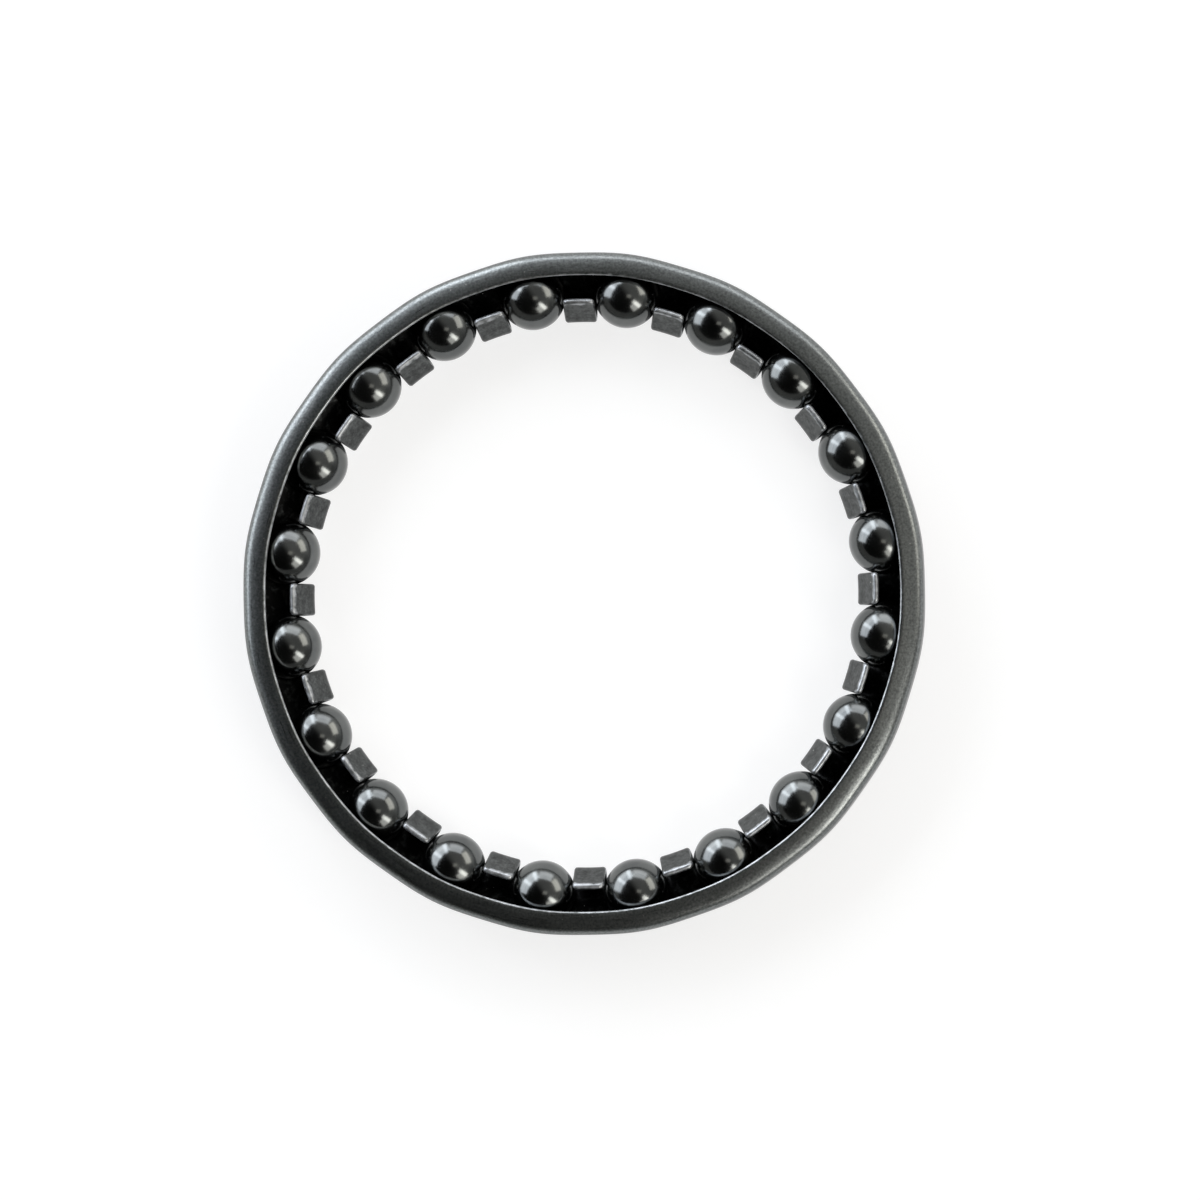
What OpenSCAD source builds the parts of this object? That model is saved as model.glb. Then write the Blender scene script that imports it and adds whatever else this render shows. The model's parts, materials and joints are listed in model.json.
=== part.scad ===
// Caged ball ring: one pressed steel cage that carries a ring of loose bearing balls.
// It lies flat with its turned-in rim up. The origin is on the ring's axis, on the surface
// that the balls rest on, and +Z points up along the axis.

/* [Balls] */
// Diameter of one ball (5/32 inch)
ball_d = 3.969; // [3.4:0.001:4.8]
// Number of balls in the ring
ball_count = 20; // [14:1:26]
// Clear space between neighbouring balls
ball_gap = 1.81; // [1.4:0.01:2.4]

/* [Sheet] */
// Thickness of the pressed sheet
sheet_t = 0.38; // [0.3:0.01:0.45]
// Play all round a ball in its pocket
pocket_play = 0.05; // [0.03:0.01:0.08]
// Distance of the outer wall outside the pockets
wall_relief = 0.03; // [0.02:0.01:0.06]

/* [Rim] */
// Width of the rim, seen from above
rim_w = 1.44; // [1.2:0.01:1.6]
// Outside radius of the rim's low crown, which is level at its cut edge
crown_r = 3.2; // [2.6:0.1:4.5]
// Outside radius of the shoulder between the wall and the rim
shoulder_r = 0.65; // [0.5:0.01:0.8]
// Play between a ball and the rim's cut edge
rim_play = 0.12; // [0.08:0.01:0.25]

/* [Fingers] */
// Width of a finger
finger_w = 1.94; // [1.75:0.01:1.98]
// Slope of the web that runs inwards and down from the wall
web_slope = 22; // [19:1:25]
// Inside radius of the bend from the wall to the web
bend_r = 0.2; // [0.15:0.01:0.3]
// Outside radius of the curl at the foot of a finger
curl_r = 0.85; // [0.75:0.01:0.95]
// Distance of the fingers outside the circle through the balls' inner edges
finger_inset = 0.25; // [0.18:0.01:0.32]
// Height of the fingers' lowest point above the surface that the balls rest on
finger_lift = 0.4; // [0.3:0.01:0.5]
// Lean of the finger ends, outwards from upright
finger_lean = 30; // [26:1:34]
// Depth of the finger tips below the tops of the balls
tip_drop = 0.58; // [0.4:0.01:0.8]
// Corner radius at the finger tips
tip_corner_r = 0.28; // [0.15:0.01:0.5]

/* [Hidden] */
// Ring layout: ball 1 stands half a pitch round from +X, and a finger stands on +X
ball_r = ball_d / 2;
pitch_angle = 360 / ball_count;
half_pitch = pitch_angle / 2;
pitch_r = (ball_d + ball_gap) / (2 * sin(half_pitch));

// Section of the sheet as [outwards, upwards] from a ball's centre
pocket_r = ball_r + pocket_play;
wall_out = pocket_r + wall_relief + sheet_t;
cage_r = pitch_r + wall_out;

// Rim: a low crown with a square-cut edge just clear of the ball
rim_edge = wall_out - rim_w;
rim_edge_z = sqrt(pow(ball_r + rim_play, 2) - pow(rim_edge, 2));
crown_centre = [rim_edge, rim_edge_z + sheet_t - crown_r];

// Shoulder between the wall and the rim, at the height where it runs smoothly into the crown
shoulder_x = wall_out - shoulder_r;
crown_turn = asin((shoulder_x - rim_edge) / (crown_r - shoulder_r));
shoulder_centre = crown_centre + (crown_r - shoulder_r) * [sin(crown_turn), cos(crown_turn)];

// Curl at the foot of a finger
curl_centre = [finger_inset + curl_r - ball_r, finger_lift + curl_r - ball_r];

// Bend below the wall, at the height where the web runs straight on into the curl
bend_out_r = bend_r + sheet_t;
bend_x = wall_out - bend_out_r;
web_rise = sin(web_slope) * (bend_x - curl_centre.x) + bend_out_r - curl_r;
bend_centre = [bend_x, curl_centre.y + web_rise / cos(web_slope)];

// Straight end of a finger: its face towards the ring's axis, and that face's tip
finger_face = [-cos(finger_lean), sin(finger_lean)];
finger_foot = curl_centre + curl_r * finger_face;
tip_z = ball_r - tip_drop;
tip = [finger_foot.x + (tip_z - finger_foot.y) * tan(finger_lean), tip_z];
tip_out = tip - sheet_t * finger_face;

// Room by which a cutter passes the sheet, and by which a slot passes the finger tips
cut_over = 1;
tip_pass = sheet_t / 2;
// Depth by which the round end of a slot cuts into the side of a finger
neck_relief = 0.02;

// Round end of a slot: it reaches as far out as the pocket, and just cuts into the fingers' sides
slot_end = pitch_r + pocket_r;
slot_x = (slot_end + finger_w / 2 - neck_relief) / (1 + sin(half_pitch));
slot_r = slot_end - slot_x;

// Turn of each step along an arc of the section
arc_step = 12;
// Steps in the round corners of the finger tips
corner_steps = 4;
ring_fn = 240;
ball_fn = 64;

cage_colour = "#5b5e60";
ball_colour = "#9a9da0";

function ball_name(i) = str("ball_", i < 10 ? "0" : "", i);

// Half-width of a slot at distance x from the ring's axis, along the slot's middle line
function side_of_slot(x) = x * tan(half_pitch) - finger_w / 2 / cos(half_pitch);

function arc(centre, r, from, to, steps) =
    [for (i = [0:steps])
        let (a = from + (to - from) * i / steps)
        centre + r * [cos(a), sin(a)]];

function bend_arc(centre, r, from, to) =
    arc(centre, r, from, to, ceil(abs(to - from) / arc_step));

function without_last(points) = [for (i = [0:len(points) - 2]) points[i]];

// One side of the sheet from the rim's edge to the finger's tip, this far in from the outside
function sheet_side(depth) =
    concat(
        without_last(bend_arc(crown_centre, crown_r - depth, 90, 90 - crown_turn)),
        bend_arc(shoulder_centre, shoulder_r - depth, 90 - crown_turn, 0),
        bend_arc(bend_centre, bend_out_r - depth, 0, web_slope - 90),
        bend_arc(curl_centre, curl_r - depth, web_slope - 90, -180 - finger_lean),
        [tip - depth * finger_face]);

function reversed(points) = [for (i = [len(points) - 1:-1:0]) points[i]];

// The pressed sheet before it is slotted: its section turned about the ring's axis
module pressed_ring() {
    rotate_extrude($fn = ring_fn)
        translate([pitch_r, ball_r])
            polygon(concat(sheet_side(0), reversed(sheet_side(sheet_t))));
}

// What is punched out for a ball that lies on +X: a slot between two fingers, open towards
// the ring's axis, with a round end that stops short of the wall
module slot() {
    inner_x = pitch_r + curl_centre.x - curl_r - cut_over;
    outer_x = max(pitch_r + tip_out.x + tip_pass, slot_x - slot_r * sin(half_pitch));
    translate([0, 0, -cut_over])
        linear_extrude(ball_r + tip_z + 2 * cut_over)
            polygon([
                [inner_x, -side_of_slot(inner_x)],
                [outer_x, -side_of_slot(outer_x)],
                [outer_x, side_of_slot(outer_x)],
                [inner_x, side_of_slot(inner_x)]]);
    translate([slot_x, 0, -cut_over])
        cylinder(r = slot_r, h = ball_r + shoulder_centre.y + cut_over, $fn = ball_fn);
}

// What the round corners take off the tip of a finger that stands on +X
module tip_corners() {
    half_w = finger_w / 2;
    corner = [half_w - tip_corner_r, -tip_corner_r];
    outside = [
        [corner.x, cut_over],
        [half_w + cut_over, cut_over],
        [half_w + cut_over, corner.y]];
    outline = concat(outside, arc(corner, tip_corner_r, 0, 90, corner_steps));
    translate([pitch_r + tip.x, 0, ball_r + tip.y])
        rotate([0, finger_lean, 0])
            for (side = [-1, 1])
                translate([-sheet_t / 2, 0, 0])
                    rotate([90, 0, 90])
                        linear_extrude(2 * sheet_t)
                            polygon([for (p = outline) [side * p.x, p.y]]);
}

// The pressed ring with a slot punched out for each ball
module slotted_ring() {
    difference() {
        pressed_ring();
        for (i = [1:ball_count])
            rotate([0, 0, (i - 0.5) * pitch_angle])
                slot();
    }
}

module cage() {
    color(cage_colour)
        difference() {
            slotted_ring();
            for (i = [1:ball_count])
                rotate([0, 0, i * pitch_angle])
                    tip_corners();
        }
}

module ball(i) {
    color(ball_colour)
        rotate([0, 0, (i - 0.5) * pitch_angle])
            translate([pitch_r, 0, ball_r])
                sphere(d = ball_d, $fn = ball_fn);
}

cage();
for (i = [1:ball_count])
    ball(i);
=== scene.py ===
import json
import math

import bmesh
import bpy
import numpy as np
from mathutils import Matrix, Vector


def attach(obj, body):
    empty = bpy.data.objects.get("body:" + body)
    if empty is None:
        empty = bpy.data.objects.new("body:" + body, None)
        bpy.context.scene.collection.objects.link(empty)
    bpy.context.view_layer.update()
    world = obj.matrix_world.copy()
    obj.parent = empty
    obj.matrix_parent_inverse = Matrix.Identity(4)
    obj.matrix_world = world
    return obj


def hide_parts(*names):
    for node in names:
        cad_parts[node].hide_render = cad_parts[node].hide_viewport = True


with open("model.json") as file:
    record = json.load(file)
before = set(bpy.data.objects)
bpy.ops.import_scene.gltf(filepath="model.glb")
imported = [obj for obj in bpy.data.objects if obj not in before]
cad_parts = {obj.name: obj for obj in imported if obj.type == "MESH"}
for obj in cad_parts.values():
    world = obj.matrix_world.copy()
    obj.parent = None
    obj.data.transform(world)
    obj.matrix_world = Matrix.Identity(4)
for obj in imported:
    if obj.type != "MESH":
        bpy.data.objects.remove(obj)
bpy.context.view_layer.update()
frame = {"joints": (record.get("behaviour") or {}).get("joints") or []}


# Cage: one ring of thin mild-steel strip, blanked, slotted and turned up in a press. The rim turns in
# over the balls with a low crown, the wall is a short cylinder, and the fingers dip under the line of
# balls and curl up inside it. Nothing fixes it: the balls snap in between the rim and the fingers.
MM = 0.001

rolls = {joint["child"]: joint for joint in frame["joints"]}
ball_names = sorted(rolls)
ball_centres = np.array([rolls[name]["pos_m"] for name in ball_names]) / MM
ball_count = len(ball_names)
half_pitch = math.pi / ball_count
ball_r = ball_centres[0, 2]
pitch_r = math.hypot(ball_centres[0, 0], ball_centres[0, 1])

# Section of the strip as the solid has it, in mm and degrees: out from the ball circle, and up
# from the ball centres
sheet_t, pocket_play, wall_relief = 0.38, 0.05, 0.03
rim_w, crown_r, rim_play, shoulder_r = 1.44, 3.2, 0.12, 0.65
web_slope, bend_r = 22.0, 0.2
curl_r, finger_inset, finger_lift = 0.85, 0.25, 0.4
finger_half, finger_lean, tip_drop, tip_corner_r = 0.97, 30.0, 0.58, 0.28

half_t = sheet_t / 2
pocket_r = ball_r + pocket_play
wall_out = pocket_r + wall_relief + sheet_t
rim_edge = wall_out - rim_w
rim_edge_z = math.sqrt((ball_r + rim_play) ** 2 - rim_edge ** 2)
crown_centre = (rim_edge, rim_edge_z + sheet_t - crown_r)
shoulder_x = wall_out - shoulder_r
crown_turn = math.asin((shoulder_x - rim_edge) / (crown_r - shoulder_r))
shoulder_centre = (shoulder_x, crown_centre[1] + (crown_r - shoulder_r) * math.cos(crown_turn))
crown_end = 90 - math.degrees(crown_turn)
curl_centre = (finger_inset + curl_r - ball_r, finger_lift + curl_r - ball_r)
slope, lean = math.radians(web_slope), math.radians(finger_lean)
bend_out_r = bend_r + sheet_t
bend_x = wall_out - bend_out_r
web_rise = math.sin(slope) * (bend_x - curl_centre[0]) + bend_out_r - curl_r
bend_centre = (bend_x, curl_centre[1] + web_rise / math.cos(slope))
tip_z = ball_r - tip_drop - half_t * math.sin(lean)
arc_points = 90


def arc(centre, r, start, end):
    """An arc of the section: points (out, up) at radius r from the centre, and the way each faces."""
    facing = np.radians(np.linspace(start, end, arc_points))
    return np.stack([centre[0] + r * np.cos(facing), centre[1] + r * np.sin(facing), facing], -1)


curl_arc = arc(curl_centre, curl_r - half_t, web_slope - 90, -180 - finger_lean)
finger_rise = tip_z - curl_arc[-1, 1]
strip = np.concatenate([
    arc(crown_centre, crown_r - half_t, 90, crown_end),
    arc(shoulder_centre, shoulder_r - half_t, crown_end, 0),
    arc(bend_centre, bend_out_r - half_t, 0, web_slope - 90),
    curl_arc,
    [curl_arc[-1] + np.array([finger_rise * math.tan(lean), finger_rise, 0])]])

# Length along the strip's middle line, and the same stretched by the turn in each bend
stretch_per_radian = 0.7
lengths = np.hypot(*np.diff(strip[:, :2], axis=0).T)
turns = np.abs(np.diff(strip[:, 2]))
along = np.concatenate([[0], np.cumsum(lengths)])
stretched = np.concatenate([[0], np.cumsum(lengths + stretch_per_radian * turns)])
shoulder_from, bend_from, curl_from = arc_points, 2 * arc_points, 3 * arc_points
shoulder_s, wall_top_s, wall_foot_s = along[[shoulder_from, bend_from - 1, bend_from]]
curl_s, finger_foot_s, tip_s = along[[curl_from, -2, -1]]


def even_turns(start, end, steps):
    """Lengths along the strip from start to end, closer together where the strip bends."""
    ends = np.interp([start, end], along, stretched)
    return np.interp(np.linspace(*ends, steps + 1), stretched, along)


def web_at(out):
    """Length at which the bend or the web passes this distance out from the ball circle."""
    web = slice(bend_from, curl_from + 1)
    return np.interp(-out, -strip[web, 0], along[web])


round_steps, flat_steps = 4, 6


def steps_from_cut(length, edge_r):
    """Distances from a cut edge as far as length: the steps of a quarter circle of radius edge_r
    over the rounded edge, then even ones."""
    turn = np.linspace(0, math.pi / 2, round_steps + 1)
    rounded = np.multiply.outer(1 - np.cos(turn), edge_r + 0 * length)
    even = edge_r + np.multiply.outer(np.linspace(0, 1, flat_steps + 1)[1:], length - edge_r)
    return np.concatenate([rounded, even])


# One half of a sector, from a finger's middle at angle 0 to a ball at half a pitch, in three grids
# of (length, angle): the rim and wall, the web round the slot, and the finger. The edges that were
# cut are tumbled round, most on the rim and the fingers.
rim_edge_r, slot_edge_r, finger_edge_r = 0.13, 0.1, 0.18
shoulder_steps, wall_steps, top_steps, side_steps, finger_steps = 9, 3, 10, 12, 20

top_angle = np.linspace(half_pitch, 0, top_steps + 1)
band_rows = np.concatenate([
    steps_from_cut(shoulder_s, rim_edge_r),
    even_turns(shoulder_s, wall_top_s, shoulder_steps)[1:],
    np.linspace(wall_top_s, wall_foot_s, wall_steps + 1)[1:]])
band_s, band_angle = np.meshgrid(band_rows, top_angle, indexing="ij")

# The slot's round end reaches just past the pocket, and runs on into the sides of the fingers
slot_r, slot_room = 1.87, 0.01
slot_x = pitch_r + pocket_r + slot_room - slot_r
slot_middle = slot_x * np.array([math.cos(half_pitch), math.sin(half_pitch)])
round_slot = np.linspace(half_pitch, -math.pi / 2, top_steps + side_steps + 1)
slot_edge = slot_middle + slot_r * np.stack([np.cos(round_slot), np.sin(round_slot)], -1)
edge_s = web_at(np.hypot(*slot_edge.T) - pitch_r)
edge_angle = np.arctan2(slot_edge[:, 1], slot_edge[:, 0])
neck_s = web_at(slot_middle[0] - pitch_r)
far_s = np.concatenate([np.full(top_steps, wall_foot_s), even_turns(wall_foot_s, neck_s, side_steps)])
far_angle = np.concatenate([top_angle, np.zeros(side_steps)])
spoke = np.hypot(far_s - edge_s, (far_angle - edge_angle) * pitch_r)
web_edge_r = np.interp(round_slot, [-math.pi / 2, 0], [finger_edge_r, slot_edge_r])
web_from_cut = steps_from_cut(spoke, web_edge_r)
web_s = edge_s + (far_s - edge_s) * web_from_cut / spoke
web_angle = edge_angle + (far_angle - edge_angle) * web_from_cut / spoke

# The finger is a little wider at its root, and eases to an even width over root_length
finger_rows = np.concatenate([
    even_turns(neck_s, tip_s - tip_corner_r, finger_steps)[1:],
    tip_s - steps_from_cut(tip_corner_r, finger_edge_r)[-2::-1]])
root_half, root_length = slot_middle[1] - slot_r, 0.9
in_root = np.clip(1 - (finger_rows - neck_s) / root_length, 0, 1)
finger_side = finger_half + (root_half - finger_half) * in_root ** 2 * (3 - 2 * in_root)
side_from_cut = steps_from_cut(finger_side, finger_edge_r).T
finger_y = finger_side[:, None] - side_from_cut
finger_s = np.repeat(finger_rows[:, None], side_from_cut.shape[1], 1)

# The square corner of the tip becomes a round one: a square of side 1 maps to a quarter disc by
# x sqrt(1 - y^2 / 2) and y sqrt(1 - x^2 / 2), which lies sqrt(x^2 + y^2 - x^2 y^2) from its middle
corner_x = np.clip(1 - side_from_cut / tip_corner_r, 0, 1) * (finger_s > tip_s - tip_corner_r)
corner_y = np.clip(1 - (tip_s - finger_s) / tip_corner_r, 0, 1)
from_middle = np.sqrt(corner_x ** 2 + corner_y ** 2 - (corner_x * corner_y) ** 2)
corner_from_cut = tip_corner_r * (1 - from_middle)
in_corner = (corner_x > 0) & (corner_y > 0)
finger_from_cut = np.where(in_corner, corner_from_cut, np.minimum(side_from_cut, tip_s - finger_s))
finger_y = finger_y - tip_corner_r * corner_x * (1 - np.sqrt(1 - corner_y ** 2 / 2))
finger_s = finger_s - tip_corner_r * corner_y * (1 - np.sqrt(1 - corner_x ** 2 / 2))
finger_angle = np.arcsin(finger_y / (pitch_r + np.interp(finger_s, along, strip[:, 0])))
finger_s, finger_angle, finger_from_cut = (
    np.concatenate([web[:, -1][None], finger]) for web, finger in (
        (web_s, finger_s), (web_angle, finger_angle), (web_from_cut, finger_from_cut)))

grids = (band_s, web_s, finger_s)
half_s = np.concatenate([grid.ravel() for grid in grids])
half_angle = np.concatenate([grid.ravel() for grid in (band_angle, web_angle, finger_angle)])
half_from_cut = np.concatenate([grid.ravel() for grid in (band_s, web_from_cut, finger_from_cut)])
half_edge_r = np.concatenate([
    np.full(band_s.size, rim_edge_r),
    (web_edge_r + 0 * web_s).ravel(),
    np.full(finger_s.size, finger_edge_r)])

# The sheet's half-thickness falls by a quarter circle over each rounded edge
in_round = np.clip(half_edge_r - half_from_cut, 0, None)
half_thickness = half_t - half_edge_r + np.sqrt(half_edge_r ** 2 - in_round ** 2)
half_out, half_up, half_facing = (np.interp(half_s, along, strip[:, i]) for i in range(3))
shell_out = np.concatenate([half_out + side * half_thickness * np.cos(half_facing) for side in (1, -1)])
shell_up = np.concatenate([half_up + side * half_thickness * np.sin(half_facing) for side in (1, -1)])
shell_s, shell_angle, shell_from_cut = (np.tile(v, 2) for v in (half_s, half_angle, half_from_cut))


def grid_faces(rows, columns, first):
    """Quads of a grid of points numbered row by row from first: each joins a point to the next
    in its row and the two below."""
    corner = first + np.arange(rows - 1)[:, None] * columns + np.arange(columns - 1)
    return np.stack([corner, corner + 1, corner + columns + 1, corner + columns], -1).reshape(-1, 4)


shell_faces, first = [], 0
for grid in grids:
    numbers = first + np.arange(grid.size).reshape(grid.shape)
    sheet_faces = grid_faces(*grid.shape, first)
    shell_faces += [sheet_faces, sheet_faces[:, ::-1] + len(half_s)]
    cuts = [numbers[:, 0], numbers[-1]] if grid is finger_s else [numbers[0]]
    for cut in cuts:
        edge_faces = [cut[:-1], cut[1:], cut[1:] + len(half_s), cut[:-1] + len(half_s)]
        shell_faces.append(np.stack(edge_faces, -1))
    first += grid.size
shell_faces = np.concatenate(shell_faces)

# Forty halves make the ring. The wall stands out a little at each ball, where the press pushed it,
# and each finger was bent by itself, so their tips stand a few hundredths of a mm apart.
lobe, sway = 0.037, 0.035
chance = np.random.default_rng(seed=7)
tip_sway = chance.uniform(-sway, sway, (ball_count, 2))
bent = np.clip((shell_s - neck_s) / (tip_s - neck_s), 0, 1) ** 2
points, faces, uvs = [], [], []
for k in range(ball_count):
    for mirror in (1, -1):
        angle = 2 * half_pitch * k + mirror * shell_angle
        out = shell_out + bent * tip_sway[k, 0]
        radius = pitch_r + out - lobe * np.cos(ball_count * angle) * np.clip(out / wall_out, 0, 1)
        height = ball_r + shell_up + bent * tip_sway[k, 1]
        faces.append(shell_faces[:, ::mirror] + len(points) * len(shell_s))
        points.append(np.stack([radius * np.cos(angle), radius * np.sin(angle), height], -1))
        uvs.append(np.stack([angle * pitch_r, shell_s], -1))
points, faces, uvs = np.concatenate(points), np.concatenate(faces), np.concatenate(uvs)


def new_piece(name, points, faces):
    """A smooth mesh object at the origin from points in mm and faces that number them."""
    mesh = bpy.data.meshes.new(name)
    mesh.from_pydata((points * MM).tolist(), [], faces.tolist())
    mesh.polygons.foreach_set("use_smooth", np.ones(len(mesh.polygons), bool))
    piece = bpy.data.objects.new(name, mesh)
    bpy.context.scene.collection.objects.link(piece)
    return piece


cage = new_piece("pressed_cage", points, faces)
strip_uv = cage.data.uv_layers.new(name="strip_mm")
strip_uv.data.foreach_set("uv", uvs[faces.ravel()].astype(np.float32).ravel())

# The rim's cut edge and the finger tips are rubbed bare, and the finger sides hardly. Each value is
# how far in mm the rubbing reaches from the cut, which at a tip is furthest in the finger's middle.
rim_rub, tip_rub, side_rub = 0.1, 0.3, 0.02
tip_end, side_start = 0.25, 0.5
middle_share, corner_loss = 1.3, 0.6
across = np.clip((pitch_r + shell_out) * np.sin(shell_angle) / finger_half, 0, 1)
finger_rub = np.interp(tip_s - shell_s, [tip_end, side_start], [tip_rub, side_rub])
finger_rub = finger_rub * (middle_share - corner_loss * across ** 2)
rub = np.where(shell_s < wall_foot_s, rim_rub, np.where(shell_s > neck_s, finger_rub, 0.0))

# Black oil and painted shade: the channel that the balls run in and the round ends of the slots are
# painted near black, where oil settles and where shade falls in them, and a film of it darkens the
# outside of the wall and of the fingers, a painted shade that dims what they reflect
edge_oil_shade, wall_oil_shade, neck_oil_shade, tip_oil_shade = 0.3, 0.6, 0.75, 0.6
slot_shade_full, slot_shade_end = 0.05, 0.15
mid_shoulder_s = (shoulder_s + wall_top_s) / 2
channel_oil_shade = np.interp(
    half_s, [rim_edge_r, shoulder_s, curl_s, finger_foot_s], [edge_oil_shade, 1.0, 1.0, 0.0])
outside_oil_shade = np.interp(
    half_s, [mid_shoulder_s, wall_top_s, neck_s, tip_s], [0.0, wall_oil_shade, neck_oil_shade, tip_oil_shade])
slot_oil_shade = np.concatenate([
    np.zeros(band_s.size),
    np.interp(web_from_cut, [slot_shade_full, slot_shade_end], [1.0, 0.0]).ravel(),
    np.zeros(finger_s.size)])
# Share of painted shade and oil at each point, 1 for near black
oil = np.concatenate([np.maximum(slot_oil_shade, outside_oil_shade), np.maximum(slot_oil_shade, channel_oil_shade)])
for name, values in (("from_cut_mm", shell_from_cut), ("rub_mm", rub), ("oil", oil)):
    layer = cage.data.attributes.new(name, "FLOAT", "POINT")
    layer.data.foreach_set("value", np.tile(values, 2 * ball_count).astype(np.float32))

weld_reach = 0.001
welder = bmesh.new()
welder.from_mesh(cage.data)
bmesh.ops.remove_doubles(welder, verts=welder.verts, dist=weld_reach * MM)
bmesh.ops.recalc_face_normals(welder, faces=welder.faces)
welder.to_mesh(cage.data)
welder.free()


def linear(colour):
    """A colour written as sRGB hex, as the linear values that a shader takes."""
    parts = np.array([int(colour[i:i + 2], 16) for i in (1, 3, 5)]) / 255
    return (*np.where(parts <= 0.04045, parts / 12.92, ((parts + 0.055) / 1.055) ** 2.4), 1.0)


def add(tree, kind, links=None, **settings):
    """Adds a shader node, sets its properties, and sets or links its input sockets."""
    node = tree.nodes.new("ShaderNode" + kind)
    for name, value in settings.items():
        setattr(node, name, value)
    for socket, value in (links or {}).items():
        if isinstance(value, bpy.types.NodeSocket):
            tree.links.new(value, node.inputs[socket])
        else:
            node.inputs[socket].default_value = value
    return node


def new_material(name):
    """An empty node material and its tree."""
    material = bpy.data.materials.new(name)
    material.use_nodes = True
    material.node_tree.nodes.clear()
    return material, material.node_tree


def two_tones(tree, value, low, dark, high, light):
    """Turns a value into a colour that runs from dark at low to light at high."""
    ramp = add(tree, "ValToRGB", {"Fac": value})
    for stop, place, colour in zip(ramp.color_ramp.elements, (low, high), (dark, light)):
        stop.position, stop.color = place, linear(colour)
    return ramp.outputs["Color"]


def spread(tree, noise, low, high):
    """Spreads the middle of a noise, from 0.3 to 0.7, over low to high."""
    ranged = add(tree, "MapRange", {
        "Value": noise, "From Min": 0.3, "From Max": 0.7, "To Min": low, "To Max": high})
    return ranged.outputs["Result"]


# Cold-rolled strip, oiled and darkened in the press: a satin dark grey with a pebbled grain and faint
# drawing lines along the ring, patchy bare steel on its rubbed edges, near black where oil and painted
# shade lie, and here and there a light fleck
grain_mm, patch_mm, fleck_gap_mm = 0.14, 0.4, 0.9
line_length_mm, line_gap_mm = 2.5, 1 / 14
fleck_core, fleck_edge = 0.03, 0.06

# The sockets of a Mix node's colours and of its numbers, which share their names
colour_a, colour_b, colour_out = 6, 7, 2
number_a, number_b, number_out = 2, 3, 0

oiled_strip, tree = new_material("oiled_pressed_strip")
place = add(tree, "TexCoord").outputs["Object"]
strip_place = add(tree, "UVMap", uv_map="strip_mm").outputs["UV"]
from_cut, rub_reach, oil_and_shade_share = (add(tree, "Attribute", attribute_name=name).outputs["Fac"]
                              for name in ("from_cut_mm", "rub_mm", "oil"))
grain = add(tree, "TexNoise", {
    "Vector": place, "Scale": 1 / (grain_mm * MM), "Detail": 3.0}).outputs["Fac"]
patches = add(tree, "TexNoise", {
    "Vector": place, "Scale": 1 / (patch_mm * MM), "Detail": 4.0}).outputs["Fac"]
drawn = add(tree, "Mapping", {
    "Vector": strip_place, "Scale": (1 / line_length_mm, 1 / line_gap_mm, 1.0)}).outputs["Vector"]
lines = add(tree, "TexNoise", {"Vector": drawn, "Scale": 1.0, "Detail": 3.0}).outputs["Fac"]
flecks = add(tree, "TexVoronoi", {
    "Vector": place, "Scale": 1 / (fleck_gap_mm * MM)}).outputs["Distance"]

reach = add(tree, "Math", {
    0: spread(tree, patches, 0.4, 1.7), 1: rub_reach}, operation="MULTIPLY").outputs[0]
rubbed = add(tree, "MapRange", {
    "Value": from_cut, "From Min": reach, "From Max": 0.0}).outputs["Result"]
rubbed = add(tree, "Math", {
    0: rubbed, 1: spread(tree, patches, 0.45, 1.1)}, operation="MULTIPLY").outputs[0]
oil_and_shade_share = add(tree, "Math", {
    0: oil_and_shade_share, 1: spread(tree, patches, 0.8, 1.25)}, operation="MULTIPLY").outputs[0]
fleck = add(tree, "MapRange", {
    "Value": flecks, "From Min": fleck_edge, "From Max": fleck_core}).outputs["Result"]

tone = two_tones(tree, grain, 0.3, "#636666", 0.7, "#858887")
# The near-black tone is painted shade and oil, laid over the channel, the slot ends and the outside
for share, finish in ((oil_and_shade_share, "#171717"), (rubbed, "#cccfd2"), (fleck, "#b0b0ac")):
    tone = add(tree, "Mix", {
        "Factor": share, colour_a: tone, colour_b: linear(finish)}, data_type="RGBA").outputs[colour_out]
satin = add(tree, "Mix", {
    "Factor": rubbed, number_a: spread(tree, lines, 0.27, 0.36), number_b: 0.5}).outputs[number_out]
pebbles = add(tree, "Bump", {
    "Height": grain, "Strength": 0.6, "Distance": 0.012 * MM}).outputs["Normal"]
relief = add(tree, "Bump", {
    "Height": lines, "Strength": 0.2, "Distance": 0.008 * MM, "Normal": pebbles}).outputs["Normal"]
steel = add(tree, "BsdfPrincipled", {
    "Base Color": tone, "Metallic": 1.0, "Roughness": satin, "Normal": relief})
add(tree, "OutputMaterial", {"Surface": steel.outputs["BSDF"]})

cage.data.materials.append(oiled_strip)
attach(cage, "cage")
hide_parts("cage")


# Balls: through-hardened chrome steel, ground and lapped to a mirror. Each lies loose in its
# pocket, held by the rim above, the web outside and a finger on either side.
ball_steps = 22

# A cube whose six sides carry a grid at even angles is blown up to a sphere: each point is divided by
# its length. Points that two or three sides share are then merged.
side_points = ball_steps + 1
side_line = np.tan(np.linspace(-math.pi / 4, math.pi / 4, side_points))
side_x, side_y = np.meshgrid(side_line, side_line, indexing="ij")
ball_sides = []
for axis in range(3):
    for sign in (1, -1):
        side = np.stack([np.ones_like(side_x) * sign, side_x * sign, side_y], -1)
        ball_sides.append(np.roll(side, axis, -1))
ball_dirs = np.stack(ball_sides).reshape(-1, 3)
ball_dirs /= np.linalg.norm(ball_dirs, axis=1)[:, None]
ball_faces = np.concatenate([
    grid_faces(side_points, side_points, side_points ** 2 * number)[:, ::-1]
    for number in range(len(ball_sides))])
merge_digits = 7
_, kept, merged = np.unique(
    np.round(ball_dirs, merge_digits), axis=0, return_index=True, return_inverse=True)
ball_dirs, ball_faces = ball_dirs[kept], merged.ravel()[ball_faces]

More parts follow.
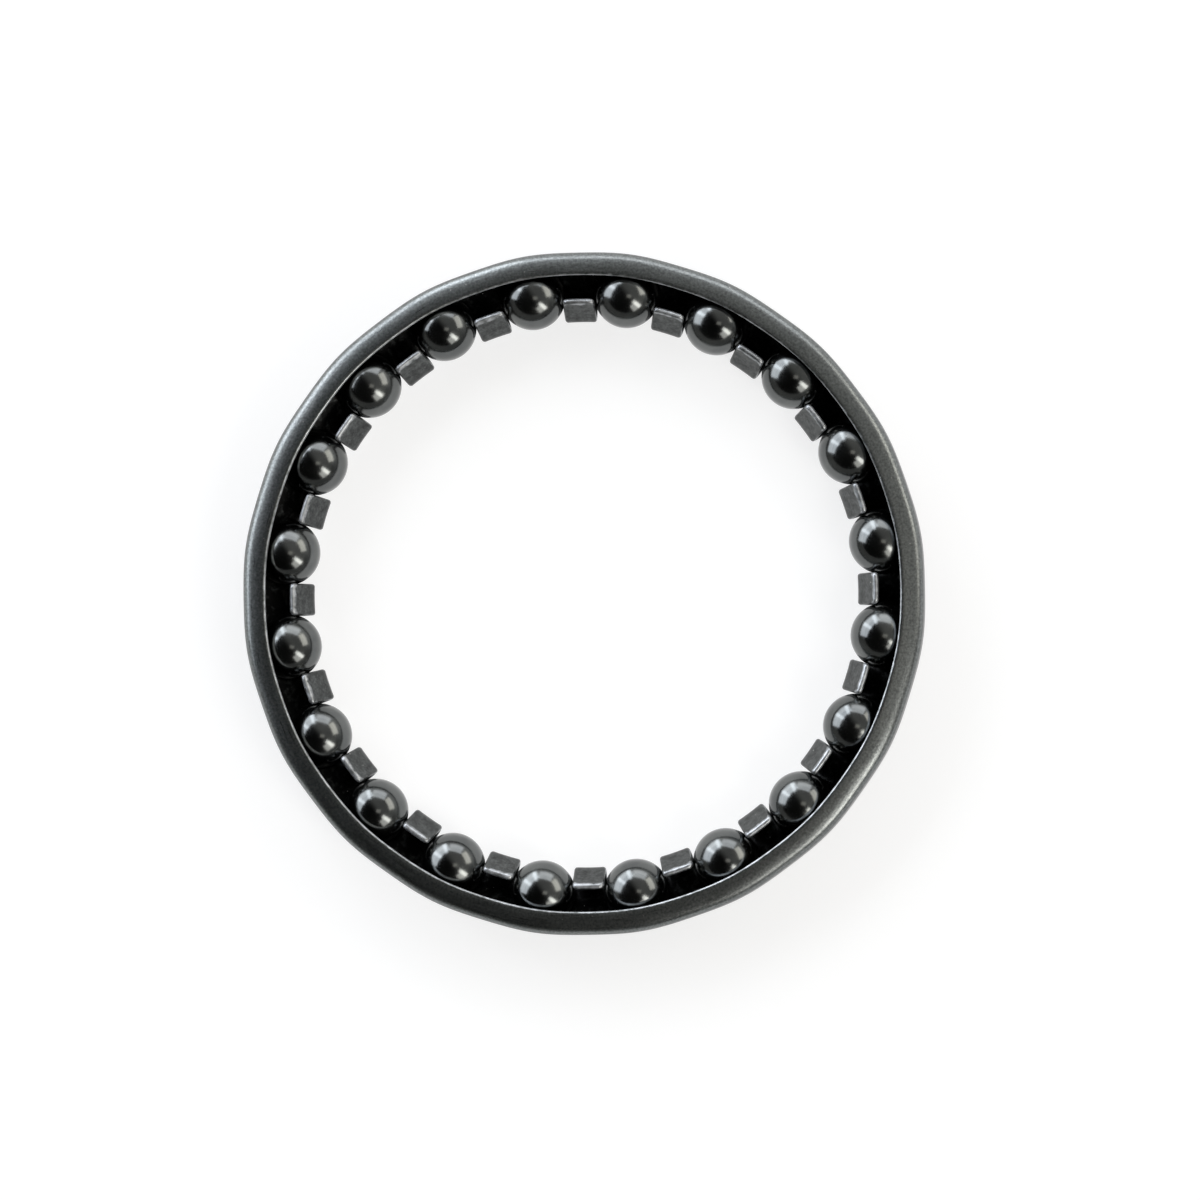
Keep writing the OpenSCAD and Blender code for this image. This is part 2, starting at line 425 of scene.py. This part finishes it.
# Lapped chrome steel: a dark mirror under a thin film of oil, which lies in patches of 1 to 2 mm, with
# lapping marks so fine that they only soften the reflections
film_mm, lapping_mm = 1.2, 0.12
lapped_steel, tree = new_material("lapped_chrome_steel")
place = add(tree, "TexCoord").outputs["Object"]
film = add(tree, "TexNoise", {
    "Vector": place, "Scale": 1 / (film_mm * MM), "Detail": 5.0}).outputs["Fac"]
lapping = add(tree, "TexNoise", {
    "Vector": place, "Scale": 1 / (lapping_mm * MM), "Detail": 3.0}).outputs["Fac"]
tone = two_tones(tree, film, 0.35, "#5d5f5f", 0.65, "#696b6a")
gloss = spread(tree, film, 0.14, 0.21)
relief = add(tree, "Bump", {
    "Height": lapping, "Strength": 0.05, "Distance": 0.004 * MM}).outputs["Normal"]
steel = add(tree, "BsdfPrincipled", {
    "Base Color": tone, "Metallic": 1.0, "Roughness": gloss, "Normal": relief})
add(tree, "OutputMaterial", {"Surface": steel.outputs["BSDF"]})

for name, centre in zip(ball_names, ball_centres):
    ball = new_piece("lapped_" + name, centre + ball_r * ball_dirs, ball_faces)
    ball.data.materials.append(lapped_steel)
    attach(ball, name)
    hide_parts(name)


# Stage: a pale matt table inside a low grey wall, in a dark room that is lighter at the back right. A
# wide window with bright gaps in its curtains stands at the back left, smaller ones at the back and at
# the right, a lamp and its shade at the front right, and a faint lamp overhead.
table_r, wall_r, wall_bend_h, wall_h = 700.0, 900.0, 60.0, 400.0
table_rings = (0.0, 20.0, 40.0, 80.0, 200.0, table_r)
turned_steps = 96
round_angle = np.linspace(0, 2 * math.pi, turned_steps + 1)


def turned(name, line):
    """A surface of revolution about the ring's axis from a line of (radius, height) in mm."""
    r, z = np.array(line).T[..., None]
    points = np.stack([r * np.cos(round_angle), r * np.sin(round_angle), z + 0 * round_angle], -1)
    return new_piece(name, points.reshape(-1, 3), grid_faces(len(line), len(round_angle), 0))


table = turned("table", [(r, 0.0) for r in table_rings])

# Matt board, whose own glow shows only where it is looked at or mirrored, and lights nothing else
board_glow = 0.74
pale_board, tree = new_material("pale_matt_board")
path = add(tree, "LightPath").outputs
seen = path["Is Camera Ray"]
for mirrored in ("Is Glossy Ray", "Is Transmission Ray"):
    seen = add(tree, "Math", {0: seen, 1: path[mirrored]}, operation="MAXIMUM").outputs[0]
glow = add(tree, "Math", {0: seen, 1: board_glow}, operation="MULTIPLY").outputs[0]
board = add(tree, "BsdfPrincipled", {
    "Base Color": linear("#969696"), "Roughness": 0.9, "Emission Color": linear("#ffffff"),
    "Emission Strength": glow})
add(tree, "OutputMaterial", {"Surface": board.outputs["BSDF"]})
table.data.materials.append(pale_board)


def toward(azimuth, elevation):
    """The direction at this azimuth and elevation in degrees."""
    a, e = math.radians(azimuth), math.radians(elevation)
    return Vector((math.cos(a) * math.cos(e), math.sin(a) * math.cos(e), math.sin(e)))


def glow_toward(tree, place, azimuth, low, dark, high, bright):
    """A brightness that runs from dark to bright as the place's share along a level direction runs
    from low to high."""
    share = add(tree, "VectorMath", {0: place, 1: toward(azimuth, 0)}, operation="DOT_PRODUCT")
    eased = add(tree, "MapRange", {
        "Value": share.outputs["Value"], "From Min": low, "From Max": high,
        "To Min": dark, "To Max": bright}, interpolation_type="SMOOTHSTEP")
    return eased.outputs["Result"]


wall = turned("low_wall", [(table_r, 0.0), (wall_r, wall_bend_h), (wall_r, wall_h)])

# Grey card, which glows towards the back
grey_card, tree = new_material("grey_card")
place = add(tree, "TexCoord").outputs["Object"]
glow = glow_toward(
    tree, place, azimuth=75, low=-0.2 * wall_r * MM, dark=0.06, high=0.7 * wall_r * MM, bright=0.6)
card = add(tree, "BsdfPrincipled", {
    "Base Color": linear("#8c8c88"), "Roughness": 0.9, "Emission Color": linear("#ffffff"),
    "Emission Strength": glow})
add(tree, "OutputMaterial", {"Surface": card.outputs["BSDF"]})
wall.data.materials.append(grey_card)

world = bpy.data.worlds.new("dark_room")
world.use_nodes = True
tree = world.node_tree
place = add(tree, "TexCoord").outputs["Generated"]
glow = glow_toward(tree, place, azimuth=38, low=-0.08, dark=0.015, high=0.4, bright=0.36)
background = tree.nodes["Background"].inputs
background["Color"].default_value = linear("#fbfbf6")
tree.links.new(glow, background["Strength"])
bpy.context.scene.world = world


window_distance = 0.6


def window(name, azimuth, elevation, width, height, brightness, colour):
    """A flat lamp of this width and height in metres that faces the ring from this direction; its
    power is pi x area x brightness."""
    lamp = bpy.data.lights.new(name, "AREA")
    lamp.shape = "RECTANGLE"
    lamp.size, lamp.size_y = width, height
    lamp.energy = math.pi * width * height * brightness
    lamp.color = linear(colour)[:3]
    holder = bpy.data.objects.new(name, lamp)
    holder.location = toward(azimuth, elevation) * window_distance
    holder.rotation_euler = toward(azimuth, elevation).to_track_quat("Z", "Y").to_euler()
    bpy.context.scene.collection.objects.link(holder)


window("window_left", 142, 25, 0.90, 0.40, 3.45, "#f2f7ff")
window("left_curtain_gap", 146, 25, 0.10, 0.44, 3.2, "#f2f7ff")
window("back_curtain_gap", 113, 25, 0.10, 0.44, 3.2, "#f2f7ff")
window("window_back", 76, 26, 0.46, 0.34, 2.3, "#f8faff")
window("window_right", 25, 28, 0.42, 0.24, 2.6, "#fffaf0")
window("lamp_front_right", 322, 39, 0.13, 0.39, 4.6, "#fffcf6")
window("lamp_shade_front_right", 310, 36, 0.30, 0.28, 2.4, "#fffcf6")
window("lamp_above", 348, 77, 0.12, 0.16, 0.9, "#fffaf0")

bpy.context.scene.view_settings.view_transform = "Standard"


# Camera: nearly straight down on the rim side, leaning a little to the right and to the front
image_px, px_per_mm = 1200, 16.32
lean_deg, lean_azimuth, image_turn = 5.0, -20.0, 1.1
ring_px = (584.5, 594.0)
aim_height = 2.2
camera_distance = 0.6

lens = bpy.data.cameras.new("camera")
lens.sensor_width = 36.0
lens.lens = lens.sensor_width * camera_distance / (image_px / px_per_mm * MM)
lens.clip_start, lens.clip_end = 0.01, 10.0
back = toward(lean_azimuth - image_turn, 90 - lean_deg)
right = toward(-image_turn, 0)
right = (right - right.dot(back) * back).normalized()
up = back.cross(right)
aim = Vector((0, 0, aim_height * MM))
aim += right * (image_px / 2 - ring_px[0]) / px_per_mm * MM
aim += up * (ring_px[1] - image_px / 2) / px_per_mm * MM
camera = bpy.data.objects.new("camera", lens)
turn = Matrix((right, up, back)).transposed().to_4x4()
camera.matrix_world = Matrix.Translation(aim + back * camera_distance) @ turn
bpy.context.scene.collection.objects.link(camera)
bpy.context.scene.camera = camera
